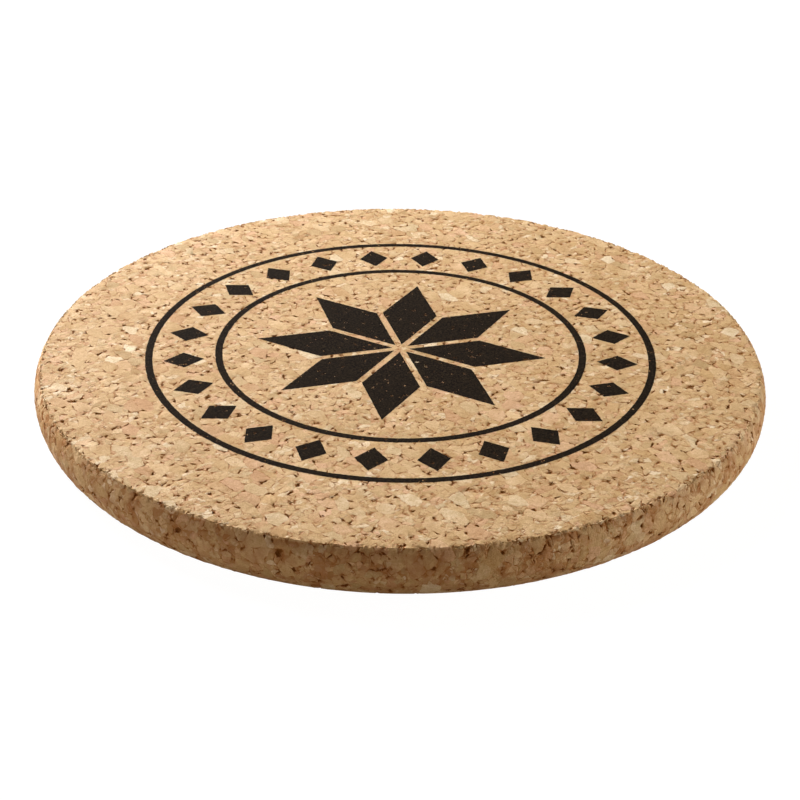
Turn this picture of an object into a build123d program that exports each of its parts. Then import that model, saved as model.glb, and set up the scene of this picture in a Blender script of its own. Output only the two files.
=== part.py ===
"""Round cork trivet: a solid slab of pressed cork granules with a bulging rim and a printed ornament.

Millimetres, +Z up. The origin is the centre of the underside, where the slab meets the table.
"""
import os
from math import radians, sin, tan

from build123d import *

# Slab
diameter = 200.0        # across the crest of the rim, its widest line
thickness = 15.0        # underside to top face
crest_drop = 6.0        # top face down to the crest
top_inset = 1.85        # how far the rim draws in from the crest to the top face
foot_inset = 5.1        # how far the rim draws in from the crest to the underside
edge_round = 0.5        # sanded edge round both faces

# Printed ornament, from the middle of the top face outward
ink_thickness = 0.1     # the ink fills the pores of the cork and lies level with its face
star_points = 8
star_radius = 40.0      # centre to the tips
star_gap = 1.8          # bare line between neighbouring rhombs
star_margin = 9.0       # tips to the inner ring
line_width = 2.0        # both rings
lozenge_count = 24
lozenge_length = 11.0   # along the radius
lozenge_width = 8.5
lozenge_margin = 3.0    # lozenges to the ring on either side

# Sizes that follow from those above
crest_radius = diameter / 2
top_radius = crest_radius - top_inset
foot_radius = crest_radius - foot_inset
crest_height = thickness - crest_drop

inner_ring_inside = star_radius + star_margin
inner_ring_outside = inner_ring_inside + line_width
lozenge_radius = inner_ring_outside + lozenge_margin + lozenge_length / 2
outer_ring_inside = lozenge_radius + lozenge_length / 2 + lozenge_margin
outer_ring_outside = outer_ring_inside + line_width

# A rhomb of the star keeps half a gap from the two lines that part it from its neighbours.
half_slice = radians(180.0 / star_points)
rhomb_root = star_gap / 2 / sin(half_slice)
rhomb_middle = (rhomb_root + star_radius) / 2
rhomb_half_width = (star_radius - rhomb_root) / 2 * tan(half_slice)

print_floor = Plane.XY.offset(thickness - ink_thickness)

# Outlines of the print: each one shapes the ink and the recess that the ink lies in.
with BuildSketch(print_floor) as outer_ring_outline:
    Circle(outer_ring_outside)
    Circle(outer_ring_inside, mode=Mode.SUBTRACT)

with BuildSketch(print_floor) as lozenge_outlines:
    with PolarLocations(lozenge_radius, lozenge_count):
        Polygon(
            (-lozenge_length / 2, 0),
            (0, -lozenge_width / 2),
            (lozenge_length / 2, 0),
            (0, lozenge_width / 2),
            align=None,
        )

with BuildSketch(print_floor) as inner_ring_outline:
    Circle(inner_ring_outside)
    Circle(inner_ring_inside, mode=Mode.SUBTRACT)

with BuildSketch(print_floor) as star_outlines:
    with PolarLocations(0, star_points):
        Polygon(
            (rhomb_root, 0),
            (rhomb_middle, -rhomb_half_width),
            (star_radius, 0),
            (rhomb_middle, rhomb_half_width),
            align=None,
        )

# Cork slab: the rim is two arcs that meet upright at the crest.
with BuildPart() as cork_disc:
    with BuildSketch(Plane.XZ):
        with BuildLine():
            crest = (crest_radius, crest_height)
            TangentArc(crest, (top_radius, thickness), tangent=(0, 1))
            TangentArc(crest, (foot_radius, 0), tangent=(0, -1))
            Polyline((top_radius, thickness), (0, thickness), (0, 0), (foot_radius, 0))
        make_face()
    revolve(axis=Axis.Z)
    rim_circles = cork_disc.edges().filter_by(GeomType.CIRCLE).sort_by(Axis.Z)
    fillet([rim_circles[0], rim_circles[-1]], edge_round)
    for outline in (outer_ring_outline, lozenge_outlines, inner_ring_outline, star_outlines):
        extrude(outline.sketch, amount=ink_thickness, mode=Mode.SUBTRACT)

# Ink, level with the top face
with BuildPart() as print_outer_ring:
    extrude(outer_ring_outline.sketch, amount=ink_thickness)

with BuildPart() as print_lozenges:
    extrude(lozenge_outlines.sketch, amount=ink_thickness)

with BuildPart() as print_inner_ring:
    extrude(inner_ring_outline.sketch, amount=ink_thickness)

with BuildPart() as print_star:
    extrude(star_outlines.sketch, amount=ink_thickness)

os.makedirs("parts", exist_ok=True)

cork_disc.part.label = "cork_disc"
export_step(cork_disc.part, "parts/cork_disc.step")

print_outer_ring.part.label = "print_outer_ring"
export_step(print_outer_ring.part, "parts/print_outer_ring.step")

print_lozenges.part.label = "print_lozenges"
export_step(print_lozenges.part, "parts/print_lozenges.step")

print_inner_ring.part.label = "print_inner_ring"
export_step(print_inner_ring.part, "parts/print_inner_ring.step")

print_star.part.label = "print_star"
export_step(print_star.part, "parts/print_star.step")
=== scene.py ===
"""Round cork trivet: a pressed cork slab with a printed ornament, on a pale studio floor.

Everything is in metres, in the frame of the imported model. Sizes of the grain are given in millimetres.
"""
import math

import bpy
import numpy as np
from bpy.props import FloatProperty, FloatVectorProperty, IntProperty, PointerProperty
from mathutils import Matrix, Vector


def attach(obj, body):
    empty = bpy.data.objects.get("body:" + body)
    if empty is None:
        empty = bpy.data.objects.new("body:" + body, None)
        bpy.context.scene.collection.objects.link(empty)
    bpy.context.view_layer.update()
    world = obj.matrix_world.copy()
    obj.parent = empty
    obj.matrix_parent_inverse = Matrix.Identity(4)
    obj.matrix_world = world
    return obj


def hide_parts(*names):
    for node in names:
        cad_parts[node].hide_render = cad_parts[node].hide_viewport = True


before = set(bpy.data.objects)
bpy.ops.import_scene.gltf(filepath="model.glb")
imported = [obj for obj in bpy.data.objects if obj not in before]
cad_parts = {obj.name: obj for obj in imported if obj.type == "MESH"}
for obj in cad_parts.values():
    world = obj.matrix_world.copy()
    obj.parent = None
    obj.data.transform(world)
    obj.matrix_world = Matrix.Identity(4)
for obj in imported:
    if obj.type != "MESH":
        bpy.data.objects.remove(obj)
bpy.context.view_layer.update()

bl_info = {
    "name": "Cork Trivet",
    "version": (1, 0, 0),
    "blender": (4, 5, 0),
    "location": "View3D > Sidebar > Trivet",
    "description": "Models a printed cork trivet over its packed solids and sets up its studio",
    "category": "Object",
}

MM = 0.001
FLAT_PLACE = "flat_place"     # attribute: where a point lay before the relief moved it, mm
CREVICE = "crevice"           # attribute: how far a point lies inside a crevice, mm
BAKE_MAP = "OFBake"           # the map that the slab is laid out on for baking
INK = "black_screen_ink_on_cork"
TOUCH = 0.01 * MM             # points this near a face, or the crest, count as on it
STAR_RHOMBS = 8
LOZENGES = 24


def linear(code):
    """Linear red, green and blue of an sRGB hex code."""
    parts = [int(code[i:i + 2], 16) / 255 for i in (1, 3, 5)]
    return tuple(c / 12.92 if c <= 0.04045 else ((c + 0.055) / 1.055) ** 2.4 for c in parts)


def radii(packed):
    """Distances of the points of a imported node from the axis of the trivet, and their heights."""
    points = np.array([v.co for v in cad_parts[packed].data.vertices])
    return np.hypot(points[:, 0], points[:, 1]), points[:, 2]


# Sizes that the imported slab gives
disc_radii, disc_heights = radii("cork_disc")
CREST_RADIUS = float(disc_radii.max())
THICKNESS = float(disc_heights.max())
CREST_HEIGHT = float(np.median(disc_heights[disc_radii > CREST_RADIUS - TOUCH]))
TOP_RADIUS = float(disc_radii[disc_heights > THICKNESS - TOUCH].max())
FOOT_RADIUS = float(disc_radii[disc_heights < TOUCH].max())


class CorkSettings(bpy.types.PropertyGroup):
    """Grain and colours of the pressed cork."""

    large_granule: FloatProperty(
        name="Large granule", description="Size of the large granules, mm", default=4.0, min=0.5)
    small_granule: FloatProperty(
        name="Small granule", description="Size of the small granules, mm", default=2.3, min=0.5)
    fines: FloatProperty(
        name="Fines", description="Size of the crumbs between the granules, mm", default=1.3, min=0.3)
    large_share: FloatProperty(
        name="Large share", description="Share of the cork in large granules", default=0.30,
        min=0, max=1, subtype="FACTOR")
    small_share: FloatProperty(
        name="Small share", description="Share of the rest in small granules", default=0.55,
        min=0, max=1, subtype="FACTOR")
    crevice_width: FloatProperty(
        name="Crevice width", description="Half width of the widest crevices, mm",
        default=0.26, min=0)
    crevice_depth: FloatProperty(
        name="Crevice depth", description="Depth of the deepest crevices, mm", default=0.5, min=0)
    crevice_length: FloatProperty(
        name="Crevice length", description="Length of the stretches of border that gape, mm",
        default=1.9, min=0.2)
    streak: FloatProperty(
        name="Streaks", description="Width of the growth lines in each granule, mm", default=0.35, min=0.05)
    patch: FloatProperty(
        name="Patches", description="Width of the broad darker and paler patches, mm", default=14.0, min=1)
    rim_roughness: FloatProperty(
        name="Rim roughness", description="Height of the torn grain on the turned rim, mm",
        default=0.25, min=0)
    edge_wear: FloatProperty(
        name="Edge wear", description="Depth of the chips along the top edge, mm", default=0.75, min=0)
    golden: FloatVectorProperty(
        name="Golden granules", description="Colour of most granules", subtype="COLOR",
        min=0, max=1, default=linear("#D0AB78"))
    rosy: FloatVectorProperty(
        name="Rosy granules", description="Colour of the peach granules", subtype="COLOR",
        min=0, max=1, default=linear("#D1A478"))
    cream: FloatVectorProperty(
        name="Cream granules", description="Colour of the palest granules", subtype="COLOR",
        min=0, max=1, default=linear("#E0C69B"))
    olive: FloatVectorProperty(
        name="Olive granules", description="Colour of the greenish granules", subtype="COLOR",
        min=0, max=1, default=linear("#C2A170"))
    bark: FloatVectorProperty(
        name="Bark", description="Colour of bark flecks and of the edges of crevices", subtype="COLOR",
        min=0, max=1, default=linear("#A56A36"))
    # Crevice colour: partly the dark gaps of the cork, partly painted shade deep in crevices and pits.
    crevice: FloatVectorProperty(
        name="Crevices", description="Colour deep inside crevices and pits", subtype="COLOR",
        min=0, max=1, default=linear("#80501E"))
    crevice_cuts: IntProperty(
        name="Crevice cuts", description="How often faces near crevices are cut each way", default=2, min=1)
    most_triangles: IntProperty(
        name="Most triangles", description="Triangles left after thinning", default=190000, min=1000)


class InkSettings(bpy.types.PropertyGroup):
    """The black print on the top face."""

    colour: FloatVectorProperty(
        name="Ink", description="Colour of the ink", subtype="COLOR", min=0, max=1,
        default=linear("#100904"))
    film: FloatProperty(
        name="Film", description="Thickness of the ink above the cork, mm", default=0.04, min=0.005)
    mesh_step: FloatProperty(
        name="Mesh step", description="Size of the mesh of the print, mm", default=0.34, min=0.1)
    feather: FloatProperty(
        name="Feather", description="How far the edge of the print wanders, mm", default=0.4, min=0)


class StageSettings(bpy.types.PropertyGroup):
    """Camera, floor and lights."""

    azimuth: FloatProperty(
        name="Azimuth", description="Side that the camera looks from", subtype="ANGLE",
        default=math.radians(-38.34))
    elevation: FloatProperty(
        name="Elevation", description="Height of the camera over the top face", subtype="ANGLE",
        default=math.radians(27.59))
    distance: FloatProperty(
        name="Distance", description="Camera to the middle of the top face", unit="LENGTH",
        default=0.4846, min=0.05)
    dip: FloatProperty(
        name="Dip", description="How far the view points below that middle", subtype="ANGLE",
        default=math.radians(1.688))
    roll: FloatProperty(
        name="Roll", description="Turn of the camera about its view", subtype="ANGLE",
        default=math.radians(0.802))
    lens: FloatProperty(
        name="Lens", description="Focal length, mm on a sensor 36 mm wide", default=78.95, min=10)
    key_power: FloatProperty(
        name="Key", description="Power of the high lamp on the left, W", default=8.6, min=0)
    back_power: FloatProperty(
        name="Back", description="Power of the low lamp behind on the left, W", default=10.9, min=0)
    back_colour: FloatVectorProperty(
        name="Back colour", description="Colour of the low lamp behind", subtype="COLOR", min=0, max=1,
        default=(0.92, 0.94, 1.0))
    left_power: FloatProperty(
        name="Left", description="Power of the low lamp on the left, W", default=1.4, min=0)
    left_colour: FloatVectorProperty(
        name="Left colour", description="Colour of the low lamp on the left", subtype="COLOR",
        min=0, max=1, default=(1.0, 0.87, 0.84))
    right_power: FloatProperty(
        name="Right", description="Power of the low lamp on the right, W", default=6.3, min=0)
    front_power: FloatProperty(
        name="Front", description="Power of the warm lamp in front, W", default=0.8, min=0)
    front_colour: FloatVectorProperty(
        name="Front colour", description="Colour of the warm lamp in front", subtype="COLOR",
        min=0, max=1, default=(1.0, 0.55, 0.22))
    glow: FloatProperty(
        name="Glow", description="Share of the floor's white that no shadow dims", default=0.88,
        min=0, max=1, subtype="FACTOR")
    bounce: FloatProperty(
        name="Bounce", description="Light that the floor gives the rim", default=0.138, min=0)
    bounce_colour: FloatVectorProperty(
        name="Bounce colour", description="Colour of the light from the floor", subtype="COLOR",
        min=0, max=1, default=(1.0, 0.94, 0.74))


def node(tree, kind, inputs=None, **settings):
    """Adds a node, sets its options, and gives each input a value or a link."""
    made = tree.nodes.new(kind)
    for name, value in settings.items():
        setattr(made, name, value)
    for name, value in (inputs or {}).items():
        if isinstance(value, bpy.types.Node):
            value = value.outputs[0]
        if isinstance(value, bpy.types.NodeSocket):
            tree.links.new(value, made.inputs[name])
        else:
            made.inputs[name].default_value = value
    return made


def cork_grain(tree, place, cork):
    """Adds the nodes of the cork's grain, which shape the mesh and colour it alike.

    place is a vector in millimetres. Gives the sockets or nodes of: chance, three chances of each granule;
    border, the distance to its border; gape, how far that border has come apart; inside, how far a point
    lies inside a crevice, below 0 outside it; rim, 1 on the rim and 0 on both faces; wide, a slow noise;
    and rough, the ragged place that the grain is drawn on. Lengths are in millimetres.
    """
    bend_wave, bend = 2.4, 1.1                # borders wander in long waves
    fray_wave, fray = 0.6, 0.42               # and fray in short ones
    half_tall = THICKNESS / MM / 2
    skin, shoulder = 0.05, 0.5                # depths under a face where the rim begins and is whole
    torn_from, torn_most = 0.45, 0.75         # slow noise where turning tears the rim
    least_tear, most_tear = -0.02, 0.10       # what that adds to the gape
    parted, wide_open = 0.57, 0.74            # gapes at which a crevice begins and is at its widest

    def ragged(vector, wave, amount):
        """The vector moved about by up to half the amount, in waves of that length."""
        noise = node(tree, "ShaderNodeTexNoise", {"Vector": vector, "Scale": 1 / wave, "Detail": 2.0})
        about = node(tree, "ShaderNodeVectorMath", {0: noise.outputs["Color"], 1: (0.5, 0.5, 0.5)},
                     operation="SUBTRACT")
        moved = node(tree, "ShaderNodeVectorMath", {0: about, "Scale": amount}, operation="SCALE")
        return node(tree, "ShaderNodeVectorMath", {0: vector, 1: moved}, operation="ADD")

    rough = ragged(ragged(place, bend_wave, bend), fray_wave, fray)

    def granules(size, stretch, pressed):
        """Three chances of each granule and the distance to its border, which pressing has moved off."""
        scaled = node(tree, "ShaderNodeVectorMath", {0: rough, 1: [part / size for part in stretch]},
                      operation="MULTIPLY")
        cells = node(tree, "ShaderNodeTexVoronoi", {"Vector": scaled, "Scale": 1.0})
        edges = node(tree, "ShaderNodeTexVoronoi", {"Vector": scaled, "Scale": 1.0},
                     feature="DISTANCE_TO_EDGE")
        border = node(tree, "ShaderNodeMath", {0: edges, 1: size, 2: pressed}, operation="MULTIPLY_ADD")
        return cells.outputs["Color"], border

    # Small granules lie over the fines, and large ones over both. The fines are pressed closest.
    chance, border = granules(cork.fines, (1.0, 1.0, 1.0), 0.12)
    for size, share, stretch, pressed in (
            (cork.small_granule, cork.small_share, (0.8, 1.25, 1.0), 0.03),
            (cork.large_granule, cork.large_share, (1.2, 0.85, 1.0), 0.0)):
        over, over_border = granules(size, stretch, pressed)
        first = node(tree, "ShaderNodeSeparateXYZ", {0: over})
        shows = node(tree, "ShaderNodeMath", {0: first, 1: share}, operation="LESS_THAN")
        chance = node(tree, "ShaderNodeMix", {0: shows, 4: chance, 5: over},
                      data_type="VECTOR").outputs[1]
        covered = node(tree, "ShaderNodeMath", {0: shows, 1: size, 2: border}, operation="MULTIPLY_ADD")
        border = node(tree, "ShaderNodeMath", {0: over_border, 1: covered}, operation="MINIMUM")

    height = node(tree, "ShaderNodeSeparateXYZ", {0: place})
    from_middle = node(tree, "ShaderNodeMath", {0: height.outputs[2], 1: half_tall}, operation="SUBTRACT")
    to_middle = node(tree, "ShaderNodeMath", {0: from_middle}, operation="ABSOLUTE")
    rim = node(tree, "ShaderNodeMapRange", {
        "Value": to_middle, "From Min": half_tall - skin, "From Max": half_tall - shoulder})

    # Borders gape along short stretches, which taper at both ends. Turning tore places of the rim wider.
    short = node(tree, "ShaderNodeTexNoise", {
        "Vector": place, "Scale": 1 / cork.crevice_length, "Detail": 1.0})
    wide = node(tree, "ShaderNodeTexNoise", {
        "Vector": place, "Scale": 1 / cork.large_granule, "Detail": 2.0})
    torn = node(tree, "ShaderNodeMapRange", {
        "Value": wide, "From Min": torn_from, "From Max": torn_most,
        "To Min": least_tear, "To Max": most_tear})
    gape = node(tree, "ShaderNodeMath", {0: torn, 1: rim, 2: short}, operation="MULTIPLY_ADD")
    half_width = node(tree, "ShaderNodeMapRange", {
        "Value": gape, "From Min": parted, "From Max": wide_open, "To Max": cork.crevice_width},
        clamp=False)
    inside = node(tree, "ShaderNodeMath", {0: half_width, 1: border}, operation="SUBTRACT")
    return {"chance": chance, "border": border, "gape": gape, "inside": inside, "rim": rim, "wide": wide,
            "rough": rough}


def cork_material(cork):
    """Agglomerated cork, pressed and sanded: granules of many tans, parted by fine brown seams.

    The sanded granules give a matte face with a flaky mottle, and the seams gape into dark brown dashes.
    """
    material = bpy.data.materials.new("agglomerated_cork_pressed_and_sanded")
    material.use_nodes = True
    tree = material.node_tree
    tree.nodes.clear()
    place = node(tree, "ShaderNodeAttribute", attribute_name=FLAT_PLACE).outputs["Vector"]
    grain = cork_grain(tree, place, cork)
    chance = node(tree, "ShaderNodeSeparateXYZ", {0: grain["chance"]})

    redness = (0.72, 1.02, 1.6)     # powers that a shade has in red, green and blue

    tans = node(tree, "ShaderNodeValToRGB", {"Fac": chance.outputs[2]})
    stops = tans.color_ramp.elements
    stops[0].color = (*cork.olive, 1)
    stops[1].color = (*cork.cream, 1)
    for at, tan in ((0.15, cork.golden), (0.55, cork.golden), (0.70, cork.rosy), (0.78, cork.golden)):
        stops.new(at).color = (*tan, 1)

    # Growth lines run each granule's own way.
    turn = node(tree, "ShaderNodeVectorMath", {0: grain["chance"], "Scale": 2 * math.pi}, operation="SCALE")
    turned = node(tree, "ShaderNodeVectorRotate", {"Vector": grain["rough"], "Rotation": turn},
                  rotation_type="EULER_XYZ")
    drawn_out = node(tree, "ShaderNodeVectorMath", {
        0: turned, 1: (0.25 / cork.streak, 1 / cork.streak, 1 / cork.streak)}, operation="MULTIPLY")
    streaks = node(tree, "ShaderNodeTexNoise", {
        "Vector": drawn_out, "Scale": 1.0, "Detail": 2.0, "Roughness": 0.6})

    # Shades that darken or brighten the tans: broad and narrow patches, each granule's tone, its mottle,
    # its streaks and its cells. Each runs from its darkest to its brightest over a range of its value, and
    # what is darker is also redder.
    mottle = node(tree, "ShaderNodeTexNoise", {
        "Vector": grain["rough"], "Scale": 0.8, "Detail": 3.0, "Roughness": 0.6})
    cells = node(tree, "ShaderNodeTexNoise", {
        "Vector": place, "Scale": 2.8, "Detail": 2.0, "Roughness": 0.6})
    patches = node(tree, "ShaderNodeTexNoise", {"Vector": place, "Scale": 1 / cork.patch, "Detail": 1.0})
    colour = tans
    for shade, low, high, darkest, brightest in (
            (patches, 0.25, 0.75, 0.93, 1.07),
            (grain["wide"], 0.25, 0.75, 0.88, 1.12),
            (chance.outputs[1], 0.0, 1.0, 0.86, 1.14),
            (mottle, 0.25, 0.75, 0.88, 1.12),
            (streaks, 0.25, 0.75, 0.86, 1.14),
            (cells, 0.25, 0.75, 0.86, 1.14)):
        bright = node(tree, "ShaderNodeMapRange", {"Value": shade, "From Min": low, "From Max": high})
        factor = node(tree, "ShaderNodeMix", {
            0: bright, 4: [darkest ** power for power in redness],
            5: [brightest ** power for power in redness]}, data_type="VECTOR")
        colour = node(tree, "ShaderNodeVectorMath", {0: colour, 1: factor.outputs[1]}, operation="MULTIPLY")

    # Seams where borders begin to part
    edge = node(tree, "ShaderNodeMapRange", {
        "Value": grain["border"], "From Min": 0.02, "From Max": 0.24, "To Min": 1.0, "To Max": 0.0})
    parting = node(tree, "ShaderNodeMapRange", {"Value": grain["gape"], "From Min": 0.42, "From Max": 0.56})
    seam = node(tree, "ShaderNodeMath", {0: edge, 1: parting}, operation="MULTIPLY")

    # Flecks of bark, a rim painted darker in patches, brown edges of crevices and their floors. Each paint
    # grows to its most over a range of its value.
    flecks = node(tree, "ShaderNodeTexNoise", {
        "Vector": grain["rough"], "Scale": 1.4, "Detail": 3.0, "Roughness": 0.65})
    # Darker rim patches: partly the turned cork's own deeper tone, partly painted shade on the slab's side.
    uneven = node(tree, "ShaderNodeMath", {0: chance, 1: 0.35, 2: grain["wide"]}, operation="MULTIPLY_ADD")
    rim_tone_and_painted_shade = node(tree, "ShaderNodeMath", {0: uneven, 1: grain["rim"]}, operation="MULTIPLY")
    for value, low, high, most, paint in (
            (flecks, 0.60, 0.70, 0.8, cork.bark),
            # rim: partly its own deeper tone, partly painted shade
            (rim_tone_and_painted_shade, 0.49, 0.81, 0.72, cork.bark),
            (seam, 0.0, 1.0, 0.65, cork.bark),
            # Crevice edges in bark, floors in the crevice colour, darker deeper in: partly dark gaps,
            # partly painted shade.
            (grain["inside"], -0.10, 0.04, 0.8, cork.bark),
            (grain["inside"], 0.0, 0.12, 1.0, cork.crevice)):
        share = node(tree, "ShaderNodeMapRange", {
            "Value": value, "From Min": low, "From Max": high, "To Max": most})
        colour = node(tree, "ShaderNodeMix", {0: share, 6: colour, 7: (*paint, 1)},
                      data_type="RGBA").outputs[2]

    # Sanded granules stand unevenly by hundredths of a millimetre and round off at their borders.
    groove = node(tree, "ShaderNodeMath", {0: seam, 1: -0.14}, operation="MULTIPLY")
    relief = groove
    for height, amount in ((mottle, 0.25), (streaks, 0.10), (cells, 0.10), (chance.outputs[0], 0.10)):
        relief = node(tree, "ShaderNodeMath", {0: height, 1: amount, 2: relief}, operation="MULTIPLY_ADD")
    bump = node(tree, "ShaderNodeBump", {"Height": relief, "Strength": 0.6, "Distance": MM})
    shader = node(tree, "ShaderNodeBsdfPrincipled", {
        "Base Color": colour, "Roughness": 0.7, "IOR": 1.45, "Specular IOR Level": 0.1, "Normal": bump})
    node(tree, "ShaderNodeOutputMaterial", {"Surface": shader})
    return material


def ink_material(cork, ink):
    """Black screen-printing ink, soaked into cork: a matte film, thin over grain and broken at pits."""
    material = bpy.data.materials.new(INK)
    material.use_nodes = True
    tree = material.node_tree
    tree.nodes.clear()
    place = node(tree, "ShaderNodeAttribute", attribute_name=FLAT_PLACE).outputs["Vector"]
    grain = cork_grain(tree, place, cork)
    thin = node(tree, "ShaderNodeTexNoise", {
        "Vector": grain["rough"], "Scale": 2.0, "Detail": 3.0, "Roughness": 0.65})
    colour = (*ink.colour, 1)
    for value, low, high, most, paint in (
            (thin, 0.42, 0.75, 0.06, cork.golden), (grain["inside"], 0.05, 0.25, 0.2, cork.bark)):
        share = node(tree, "ShaderNodeMapRange", {
            "Value": value, "From Min": low, "From Max": high, "To Max": most})
        colour = node(tree, "ShaderNodeMix", {0: share, 6: colour, 7: (*paint, 1)},
                      data_type="RGBA").outputs[2]
    bump = node(tree, "ShaderNodeBump", {"Height": thin, "Strength": 0.3, "Distance": 0.1 * MM})
    shader = node(tree, "ShaderNodeBsdfPrincipled", {
        "Base Color": colour, "Roughness": 0.9, "IOR": 1.5, "Specular IOR Level": 0.03, "Normal": bump})
    node(tree, "ShaderNodeOutputMaterial", {"Surface": shader})
    return material


def apply_nodes(piece, name, fill):
    """Gives a piece geometry nodes that fill(tree, geometry) adds and ends, and applies them."""
    tree = bpy.data.node_groups.new(name, "GeometryNodeTree")
    tree.interface.new_socket("Geometry", in_out="INPUT", socket_type="NodeSocketGeometry")
    tree.interface.new_socket("Geometry", in_out="OUTPUT", socket_type="NodeSocketGeometry")
    start = node(tree, "NodeGroupInput")
    node(tree, "NodeGroupOutput", {0: fill(tree, start.outputs[0])})
    modifier = piece.modifiers.new(name, "NODES")
    modifier.node_group = tree
    bpy.ops.object.modifier_apply(modifier=modifier.name)


def grain_here(tree, cork):
    """Adds the grain at each point of a mesh, and gives it and the point's place in millimetres."""
    where = node(tree, "GeometryNodeInputPosition")
    place = node(tree, "ShaderNodeVectorMath", {0: where, "Scale": 1 / MM}, operation="SCALE")
    return cork_grain(tree, place, cork), place


def near_top_edge(tree, place, reach):
    """Adds a value of 1 on the edge of the top face, which falls to 0 at that reach in millimetres."""
    parts = node(tree, "ShaderNodeSeparateXYZ", {0: place}).outputs
    level = node(tree, "ShaderNodeCombineXYZ", {0: parts[0], 1: parts[1]})
    radius = node(tree, "ShaderNodeVectorMath", {0: level}, operation="LENGTH").outputs["Value"]
    section = node(tree, "ShaderNodeCombineXYZ", {0: radius, 1: parts[2]})
    away = node(tree, "ShaderNodeVectorMath", {0: section, 1: (TOP_RADIUS / MM, THICKNESS / MM, 0)},
                operation="DISTANCE").outputs["Value"]
    return node(tree, "ShaderNodeMapRange", {
        "Value": away, "From Max": reach, "To Min": 1.0, "To Max": 0.0})


def mark_crevices(piece, cork):
    """Writes to each point how far it lies inside a crevice. The chipped top edge counts as one."""
    def fill(tree, geometry):
        grain, place = grain_here(tree, cork)
        at_edge = near_top_edge(tree, place, reach=1.0)
        off_edge = node(tree, "ShaderNodeMath", {0: at_edge, 1: 1.0}, operation="SUBTRACT")
        inside = node(tree, "ShaderNodeMath", {0: grain["inside"], 1: off_edge}, operation="MAXIMUM")
        return node(tree, "GeometryNodeStoreNamedAttribute", {
            "Geometry": geometry, "Name": CREVICE, "Value": inside})
    apply_nodes(piece, "crevice_marks", fill)


def carve_grain(piece, cork, lift=0.0, feather=0.0, depth_share=1.0):
    """Carves the crevices and pits of the cork into a piece, roughens its rim and chips its top edge.

    lift raises the surface and feather lets it wander sideways, both in metres, for a film of ink, and
    depth_share is the share of the crevices' depth that it sinks into.
    """
    hollow_scale, nibble_scale, feather_scale = 0.7, 1.1, 1.3     # of noises, per mm

    def fill(tree, geometry):
        grain, place = grain_here(tree, cork)
        kept = node(tree, "GeometryNodeStoreNamedAttribute", {
            "Geometry": geometry, "Name": FLAT_PLACE, "Value": place}, data_type="FLOAT_VECTOR")
        depth = node(tree, "ShaderNodeMapRange", {
            "Value": grain["inside"], "From Min": -0.02, "From Max": cork.crevice_width,
            "To Max": -cork.crevice_depth * depth_share * MM})
        uneven = node(tree, "ShaderNodeTexNoise", {
            "Vector": grain["rough"], "Scale": hollow_scale, "Detail": 2.0})
        hollows = node(tree, "ShaderNodeMapRange", {
            "Value": uneven, "From Min": 0.3, "From Max": 0.7, "To Max": -cork.rim_roughness * MM})
        on_rim = node(tree, "ShaderNodeMath", {0: hollows, 1: grain["rim"], 2: depth},
                      operation="MULTIPLY_ADD")
        nibbled = node(tree, "ShaderNodeTexNoise", {
            "Vector": grain["rough"], "Scale": nibble_scale, "Detail": 3.0})
        chips = node(tree, "ShaderNodeMapRange", {
            "Value": nibbled, "From Min": 0.46, "From Max": 0.70, "To Max": -cork.edge_wear * MM})
        at_edge = near_top_edge(tree, place, reach=1.1)
        worn = node(tree, "ShaderNodeMath", {0: chips, 1: at_edge, 2: on_rim}, operation="MULTIPLY_ADD")
        rise = node(tree, "ShaderNodeMath", {0: worn, 1: lift}, operation="ADD")
        normal = node(tree, "GeometryNodeInputNormal")
        offset = node(tree, "ShaderNodeVectorMath", {0: normal, "Scale": rise}, operation="SCALE")
        if feather:
            wander = node(tree, "ShaderNodeTexNoise", {
                "Vector": place, "Scale": feather_scale, "Detail": 3.0})
            about = node(tree, "ShaderNodeVectorMath", {0: wander.outputs["Color"], 1: (0.5, 0.5, 0.5)},
                         operation="SUBTRACT")
            aside = node(tree, "ShaderNodeVectorMath", {0: about, 1: (feather, feather, 0)},
                         operation="MULTIPLY")
            offset = node(tree, "ShaderNodeVectorMath", {0: offset, 1: aside}, operation="ADD")
        return node(tree, "GeometryNodeSetPosition", {"Geometry": kept, "Offset": offset})
    apply_nodes(piece, "cork_relief", fill)


def begin(add_primitive, name, **sizes):
    """Adds a primitive with nothing else selected, names it, and opens it in edit mode."""
    bpy.ops.object.select_all(action="DESELECT")
    add_primitive(**sizes)
    piece = bpy.context.object
    piece.name = name
    bpy.context.tool_settings.mesh_select_mode = (True, False, False)
    bpy.ops.object.mode_set(mode="EDIT")
    bpy.ops.mesh.select_all(action="SELECT")
    return piece


def settle(piece, material, slot, *packed):
    """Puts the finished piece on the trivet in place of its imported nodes."""
    bpy.ops.object.transform_apply(location=True, rotation=True, scale=True)
    piece.data.materials.clear()
    piece.data.materials.append(material)
    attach(piece, "root")
    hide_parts(*packed)


def rim_profile(steps):
    """Radius and height of the rim, from the foot over the crest to the top face, on two arcs."""
    for upper, inner_radius, rise in (
            (False, FOOT_RADIUS, CREST_HEIGHT), (True, TOP_RADIUS, THICKNESS - CREST_HEIGHT)):
        inset = CREST_RADIUS - inner_radius
        arc = (inset * inset + rise * rise) / (2 * inset)
        sweep = math.asin(rise / arc)
        for step in range(1, steps + 1):
            angle = sweep * (step / steps if upper else 1 - step / steps)
            drop = arc * math.sin(angle)
            yield CREST_RADIUS - arc + arc * math.cos(angle), CREST_HEIGHT + (drop if upper else -drop)


def corner_points(mesh):
    """The point at each corner of each face, one face after the other."""
    corners = np.empty(len(mesh.loops), np.int32)
    mesh.loops.foreach_get("vertex_index", corners)
    return corners


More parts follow.
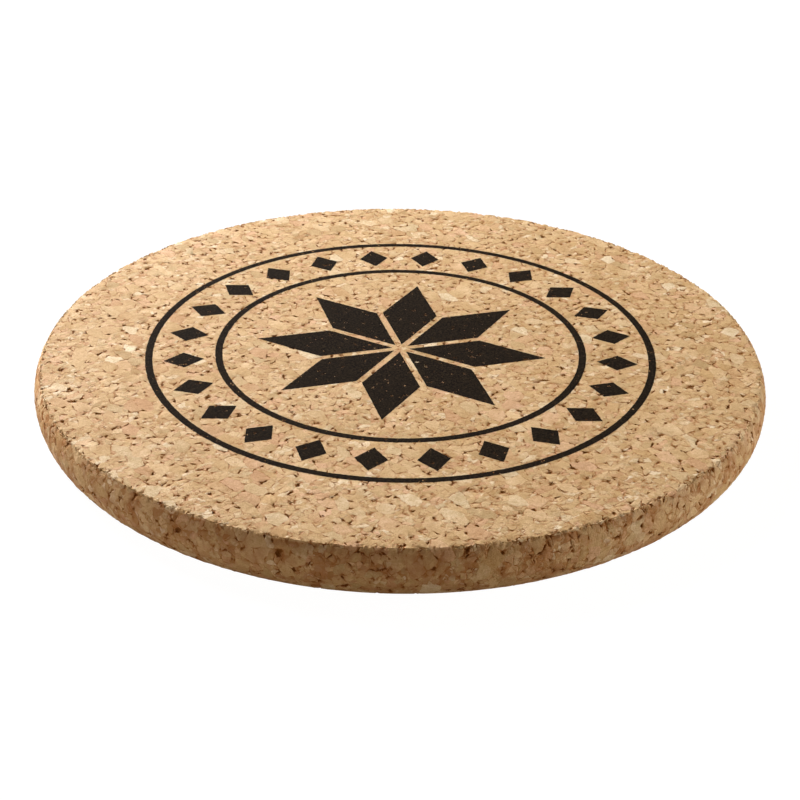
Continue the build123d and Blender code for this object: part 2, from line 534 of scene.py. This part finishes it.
def edit_faces(mesh, chosen):
    """Opens the mesh in edit mode with only the chosen faces selected."""
    bpy.context.tool_settings.mesh_select_mode = (False, False, True)
    mesh.vertices.foreach_set("select", np.zeros(len(mesh.vertices), bool))
    mesh.edges.foreach_set("select", np.zeros(len(mesh.edges), bool))
    mesh.polygons.foreach_set("select", chosen)
    bpy.ops.object.mode_set(mode="EDIT")


def refine_crevices(piece, cork, reach):
    """Cuts the faces in and near crevices finer, so that the mesh can follow them."""
    mark_crevices(piece, cork)
    mesh = piece.data
    inside = np.empty(len(mesh.vertices), np.float32)
    mesh.attributes[CREVICE].data.foreach_get("value", inside)
    first = np.empty(len(mesh.polygons), np.int32)
    mesh.polygons.foreach_get("loop_start", first)
    near = np.maximum.reduceat(inside[corner_points(mesh)], first) > -reach
    mesh.attributes.remove(mesh.attributes[CREVICE])
    edit_faces(mesh, near)
    bpy.ops.mesh.subdivide(number_cuts=cork.crevice_cuts)
    bpy.ops.object.mode_set(mode="OBJECT")


def thin_out(piece, most_triangles):
    """Thins a mesh to that many triangles, and drops pairs that this folds flat on each other."""
    mesh = piece.data
    thin = piece.modifiers.new("thin", "DECIMATE")
    thin.ratio = min(1, most_triangles / sum(len(face.vertices) - 2 for face in mesh.polygons))
    thin.use_collapse_triangulate = True
    bpy.ops.object.modifier_apply(modifier=thin.name)
    triangles = np.sort(corner_points(mesh).reshape(-1, 3), axis=1)
    twin, count = np.unique(triangles, axis=0, return_inverse=True, return_counts=True)[1:]
    edit_faces(mesh, count[twin.ravel()] > 1)
    bpy.ops.mesh.delete(type="FACE")
    bpy.ops.object.mode_set(mode="OBJECT")


def unfold(piece):
    """Lays a slab's triangles out on a square for baking: top whole, rim in quarters, foot in halves.

    The triangles are taken where they lay before the relief moved them, all in millimetres.
    """
    square, gap, rim_scale, foot_scale = 270, 2, 0.9, 0.68
    top, foot, crest, tall = TOP_RADIUS / MM, FOOT_RADIUS / MM, CREST_RADIUS / MM, THICKNESS / MM
    touch = TOUCH / MM
    mesh = piece.data
    places = np.empty(3 * len(mesh.vertices), np.float32)
    mesh.attributes[FLAT_PLACE].data.foreach_get("vector", places)
    places = places.reshape(-1, 3)[corner_points(mesh)]
    middles = np.repeat(places.reshape(-1, 3, 3).mean(axis=1), 3, axis=0)
    (x, y, z), (middle_x, middle_y, middle_z) = places.T, middles.T
    reach = np.hypot(x, y)

    # Each quarter of the rim stands beside the top, and triangles that lap over an edge keep their width.
    quarter = np.floor(np.arctan2(middle_y, middle_x) / (math.pi / 2)) + 2
    start = (quarter - 2) * math.pi / 2
    across, ahead = y * np.cos(start) - x * np.sin(start), x * np.cos(start) + y * np.sin(start)
    along = np.arctan2(across, ahead) * crest
    lap = np.where(z > tall - touch, top - reach, 0) - np.where(z < touch, foot - reach, 0)
    strip = rim_scale * tall + 2 * gap
    rim_map = (2 * top + 2 * gap + strip * quarter + gap + rim_scale * (z + lap), gap + along)

    # The halves of the foot lie above the top, both with their straight sides down.
    side = np.where(middle_y > 0, 1, -1)
    foot_map = (gap + foot_scale * (foot + side * x) + (side < 0) * (2 * foot_scale * foot + gap),
                2 * top + 2 * gap + foot_scale * side * y)
    on_top, on_foot = middle_z > tall - 2 * touch, middle_z < 2 * touch
    flat = [np.where(on_top, gap + top + own, np.where(on_foot, below, beside))
            for own, below, beside in zip((x, y), foot_map, rim_map)]
    while mesh.uv_layers:
        mesh.uv_layers.remove(mesh.uv_layers[0])
    layer = mesh.uv_layers.new(name=BAKE_MAP)
    layer.data.foreach_set("uv", (np.stack(flat, axis=1) / square).astype(np.float32).ravel())


class TRIVET_OT_cork_disc(bpy.types.Operator):
    """Model the slab of pressed cork, with its bulging rim and its pits"""

    bl_idname = "trivet.cork_disc"
    bl_label = "Cork disc"

    def execute(self, context):
        cork = context.scene.trivet_cork
        around, foot_steps, rim_steps, top_steps = 720, 70, 10, 112
        seam_width, sharpest = 0.002 * MM, math.radians(30)

        # A spoke from the middle of the foot to its edge, up the rim and back over the top, swept round
        piece = begin(bpy.ops.mesh.primitive_circle_add, "cork_slab", vertices=3, radius=FOOT_RADIUS)
        bpy.ops.mesh.merge(type="CENTER")
        spoke = [(FOOT_RADIUS * (step + 1) / foot_steps, 0.0) for step in range(foot_steps)]
        spoke += rim_profile(rim_steps)
        spoke += [(TOP_RADIUS * (1 - (step + 1) / top_steps), THICKNESS) for step in range(top_steps)]
        start = (0.0, 0.0)
        for radius, height in spoke:
            bpy.ops.mesh.extrude_region_move(
                TRANSFORM_OT_translate={"value": (radius - start[0], 0, height - start[1])})
            start = (radius, height)
        bpy.ops.object.mode_set(mode="OBJECT")
        sweep = piece.modifiers.new("sweep", "SCREW")
        sweep.angle = 2 * math.pi
        sweep.steps = sweep.render_steps = around
        sweep.use_merge_vertices = True
        bpy.ops.object.modifier_apply(modifier=sweep.name)
        bpy.ops.object.mode_set(mode="EDIT")
        bpy.ops.mesh.select_all(action="SELECT")
        bpy.ops.mesh.remove_doubles(threshold=seam_width)
        bpy.ops.mesh.normals_make_consistent(inside=False)
        bpy.ops.object.mode_set(mode="OBJECT")

        refine_crevices(piece, cork, reach=0.1)
        carve_grain(piece, cork)
        thin_out(piece, cork.most_triangles)
        bpy.ops.object.shade_smooth_by_angle(angle=sharpest)
        unfold(piece)
        settle(piece, cork_material(cork), "cork", "cork_disc")
        return {"FINISHED"}


def ink_material_once(scene):
    """The one ink that all patches of the print share."""
    return bpy.data.materials.get(INK) or ink_material(scene.trivet_cork, scene.trivet_ink)


def turn_up(piece):
    """Turns all faces of a flat piece up and leaves edit mode."""
    bpy.ops.mesh.select_all(action="SELECT")
    bpy.ops.mesh.normals_make_consistent(inside=False)
    bpy.ops.object.mode_set(mode="OBJECT")
    if piece.data.polygons[0].normal.z < 0:
        bpy.ops.object.mode_set(mode="EDIT")
        bpy.ops.mesh.flip_normals()
        bpy.ops.object.mode_set(mode="OBJECT")


def finish_ink(piece, scene, *packed):
    """Turns a flat outline into a film of ink that follows the cork."""
    cork, ink = scene.trivet_cork, scene.trivet_ink
    sharpest = math.radians(35)
    turn_up(piece)
    bpy.ops.object.transform_apply(location=True, rotation=True, scale=True)
    carve_grain(piece, cork, ink.film * MM, ink.feather * MM, depth_share=0.45)
    film = piece.modifiers.new("film", "SOLIDIFY")
    film.thickness = 2 * ink.film * MM
    film.offset = -1
    bpy.ops.object.modifier_apply(modifier=film.name)
    bpy.ops.object.shade_smooth_by_angle(angle=sharpest)
    settle(piece, ink_material_once(scene), "ink", *packed)


class TRIVET_OT_print_rings(bpy.types.Operator):
    """Model the two printed rings"""

    bl_idname = "trivet.print_rings"
    bl_label = "Printed rings"

    def execute(self, context):
        scene = context.scene
        step = scene.trivet_ink.mesh_step * MM
        for name, packed in (
                ("outer_ring_ink", "print_outer_ring"), ("inner_ring_ink", "print_inner_ring")):
            reach = radii(packed)[0]
            inside, outside = float(reach.min()), float(reach.max())
            around = round(2 * math.pi * outside / step)
            across = math.ceil((outside - inside) / step)
            piece = begin(bpy.ops.mesh.primitive_circle_add, name, vertices=around, radius=inside,
                          fill_type="NOTHING", location=(0, 0, THICKNESS))
            for count in range(across):
                now = inside + (outside - inside) * count / across
                grow = (now + (outside - inside) / across) / now
                bpy.ops.mesh.extrude_region()
                bpy.ops.transform.resize(value=(grow, grow, 1), center_override=(0, 0, THICKNESS))
            finish_ink(piece, scene, packed)
        return {"FINISHED"}


class TRIVET_OT_print_rhombs(bpy.types.Operator):
    """Model the printed star and the printed lozenges round it"""

    bl_idname = "trivet.print_rhombs"
    bl_label = "Printed star and lozenges"

    def execute(self, context):
        scene = context.scene
        step = scene.trivet_ink.mesh_step * MM
        for name, packed, count in (
                ("star_ink", "print_star", STAR_RHOMBS), ("lozenge_ink", "print_lozenges", LOZENGES)):
            points = np.array([v.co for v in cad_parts[packed].data.vertices])
            reach, angle = np.hypot(points[:, 0], points[:, 1]), np.arctan2(points[:, 1], points[:, 0])
            first = np.abs(angle) < math.pi / count
            root, tip = float(reach.min()), float(reach.max())
            half_width = float(points[first, 1].max())
            half_length = (tip - root) / 2
            cuts = round(math.hypot(half_length, half_width) / step)
            piece = begin(bpy.ops.mesh.primitive_grid_add, name, x_subdivisions=cuts, y_subdivisions=cuts,
                          size=math.sqrt(2), location=(0, 0, 0))
            bpy.ops.transform.rotate(value=math.radians(45), orient_axis="Z", center_override=(0, 0, 0))
            bpy.ops.transform.resize(value=(half_length, half_width, 1), center_override=(0, 0, 0))
            bpy.ops.transform.translate(value=((root + tip) / 2, 0, THICKNESS))
            for copy in range(count - 1):
                bpy.ops.mesh.duplicate()
                bpy.ops.transform.rotate(
                    value=2 * math.pi / count, orient_axis="Z", center_override=(0, 0, 0))
            finish_ink(piece, scene, packed)
        return {"FINISHED"}


def from_camera(heading, right, away, up):
    """A point given by how far it lies to the camera's right, away from it and above the floor."""
    return Matrix.Rotation(heading, 4, "Z") @ Vector((right, away, up))


def add_lamp(scene, name, power, size, place, colour=(1, 1, 1)):
    """A square soft lamp of that size that shines from its place on the trivet."""
    light = bpy.data.lights.new(name, "AREA")
    light.energy = power
    light.size = size
    light.color = colour
    made = bpy.data.objects.new(name, light)
    scene.collection.objects.link(made)
    made.location = place
    made.rotation_euler = (-place).to_track_quat("-Z", "Y").to_euler()


def floor_material(stage):
    """Matte white paper sweep, lit from behind: its glow leaves only a faint shadow under the trivet.

    It is clear from below, so that the foot of the trivet can be looked at.
    """
    paper_grey, glow_strength = 0.65, 1.1
    material = bpy.data.materials.new("matte_white_paper")
    material.use_nodes = True
    tree = material.node_tree
    tree.nodes.clear()
    rays = node(tree, "ShaderNodeLightPath")
    share = node(tree, "ShaderNodeMath", {0: rays.outputs["Is Camera Ray"], 1: stage.glow},
                 operation="MULTIPLY")
    paper = node(tree, "ShaderNodeBsdfDiffuse", {"Color": (paper_grey, paper_grey, paper_grey, 1)})
    bounce = node(tree, "ShaderNodeEmission", {
        "Color": (*stage.bounce_colour, 1), "Strength": stage.bounce})
    lit = node(tree, "ShaderNodeAddShader", {0: paper, 1: bounce})
    glow = node(tree, "ShaderNodeEmission", {"Color": (1, 1, 1, 1), "Strength": glow_strength})
    mixed = node(tree, "ShaderNodeMixShader", {0: share, 1: lit, 2: glow})
    below = node(tree, "ShaderNodeNewGeometry").outputs["Backfacing"]
    clear = node(tree, "ShaderNodeBsdfTransparent")
    sheet = node(tree, "ShaderNodeMixShader", {0: below, 1: mixed, 2: clear})
    node(tree, "ShaderNodeOutputMaterial", {"Surface": sheet})
    return material


class TRIVET_OT_stage(bpy.types.Operator):
    """Set up the camera, the floor and the lights"""

    bl_idname = "trivet.stage"
    bl_label = "Stage"

    def execute(self, context):
        scene = context.scene
        stage = scene.trivet_stage
        scene.view_settings.view_transform = "Standard"

        camera = bpy.data.objects.new("camera", bpy.data.cameras.new("camera"))
        scene.collection.objects.link(camera)
        camera.data.lens = stage.lens
        camera.data.sensor_width = 36
        back = Vector((math.sin(stage.azimuth) * math.cos(stage.elevation),
                       -math.cos(stage.azimuth) * math.cos(stage.elevation), math.sin(stage.elevation)))
        tilt = math.pi / 2 - stage.elevation - stage.dip
        turn = (Matrix.Rotation(stage.azimuth, 4, "Z") @ Matrix.Rotation(tilt, 4, "X")
                @ Matrix.Rotation(stage.roll, 4, "Z"))
        camera.matrix_world = Matrix.Translation(Vector((0, 0, THICKNESS)) + back * stage.distance) @ turn
        scene.camera = camera

        # The floor is open where the foot covers it, so that the foot is lit when it is seen from below.
        hole, floor_radius = FOOT_RADIUS - 0.6 * MM, 8.0
        floor = begin(bpy.ops.mesh.primitive_circle_add, "studio_floor", vertices=96, radius=hole,
                      fill_type="NOTHING")
        bpy.ops.mesh.extrude_region()
        widen = floor_radius / hole
        bpy.ops.transform.resize(value=(widen, widen, 1), center_override=(0, 0, 0))
        turn_up(floor)
        floor.data.materials.append(floor_material(stage))

        # White where the camera sees it. It gives almost no light above the floor, and lights the foot.
        faint, full = 0.03, 1.0
        world = bpy.data.worlds.new("studio")
        scene.world = world
        world.use_nodes = True
        tree = world.node_tree
        tree.nodes.clear()
        rays = node(tree, "ShaderNodeLightPath")
        heading = node(tree, "ShaderNodeSeparateXYZ", {0: node(tree, "ShaderNodeTexCoord")})
        down = node(tree, "ShaderNodeMath", {0: heading.outputs[2], 1: 0.0}, operation="LESS_THAN")
        bright = node(tree, "ShaderNodeMath", {0: rays.outputs["Is Camera Ray"], 1: down},
                      operation="MAXIMUM")
        strength = node(tree, "ShaderNodeMapRange", {"Value": bright, "To Min": faint, "To Max": full})
        sky = node(tree, "ShaderNodeBackground", {"Color": (1, 1, 1, 1), "Strength": strength})
        node(tree, "ShaderNodeOutputWorld", {"Surface": sky})

        # Spots are given as metres to the camera's right, away from it and above the floor.
        for name, power, size, spot, colour in (
                ("key", stage.key_power, 0.4, (-0.5, 0.5, 0.55), (1, 1, 1)),
                ("back", stage.back_power, 0.5, (-0.4, 0.8, 0.32), stage.back_colour),
                ("left", stage.left_power, 0.4, (-0.9, 0.0, 0.12), stage.left_colour),
                ("right", stage.right_power, 0.4, (0.9, 0.0, 0.12), (1, 1, 1)),
                ("front", stage.front_power, 0.6, (0.0, -0.9, 0.45), stage.front_colour)):
            add_lamp(scene, name, power, size, from_camera(stage.azimuth, *spot), colour)
        return {"FINISHED"}


class TRIVET_PT_sidebar(bpy.types.Panel):
    """Lists the steps that make the trivet"""

    bl_label = "Trivet"
    bl_idname = "TRIVET_PT_sidebar"
    bl_space_type = "VIEW_3D"
    bl_region_type = "UI"
    bl_category = "Trivet"

    def draw(self, context):
        for operator in OPERATORS:
            self.layout.operator(operator.bl_idname)
        for name, group in SETTINGS.items():
            box = self.layout.box()
            for key in group.__annotations__:
                box.prop(getattr(context.scene, name), key)


SETTINGS = {"trivet_cork": CorkSettings, "trivet_ink": InkSettings, "trivet_stage": StageSettings}
OPERATORS = (TRIVET_OT_cork_disc, TRIVET_OT_print_rings, TRIVET_OT_print_rhombs, TRIVET_OT_stage)


def register():
    for group in (*SETTINGS.values(), *OPERATORS, TRIVET_PT_sidebar):
        bpy.utils.register_class(group)
    for name, group in SETTINGS.items():
        setattr(bpy.types.Scene, name, PointerProperty(type=group))


def unregister():
    for name in SETTINGS:
        delattr(bpy.types.Scene, name)
    for group in reversed((*SETTINGS.values(), *OPERATORS, TRIVET_PT_sidebar)):
        bpy.utils.unregister_class(group)


def main():
    register()
    bpy.ops.trivet.cork_disc()
    bpy.ops.trivet.print_rings()
    bpy.ops.trivet.print_rhombs()
    bpy.ops.trivet.stage()


if __name__ == "__main__":
    main()
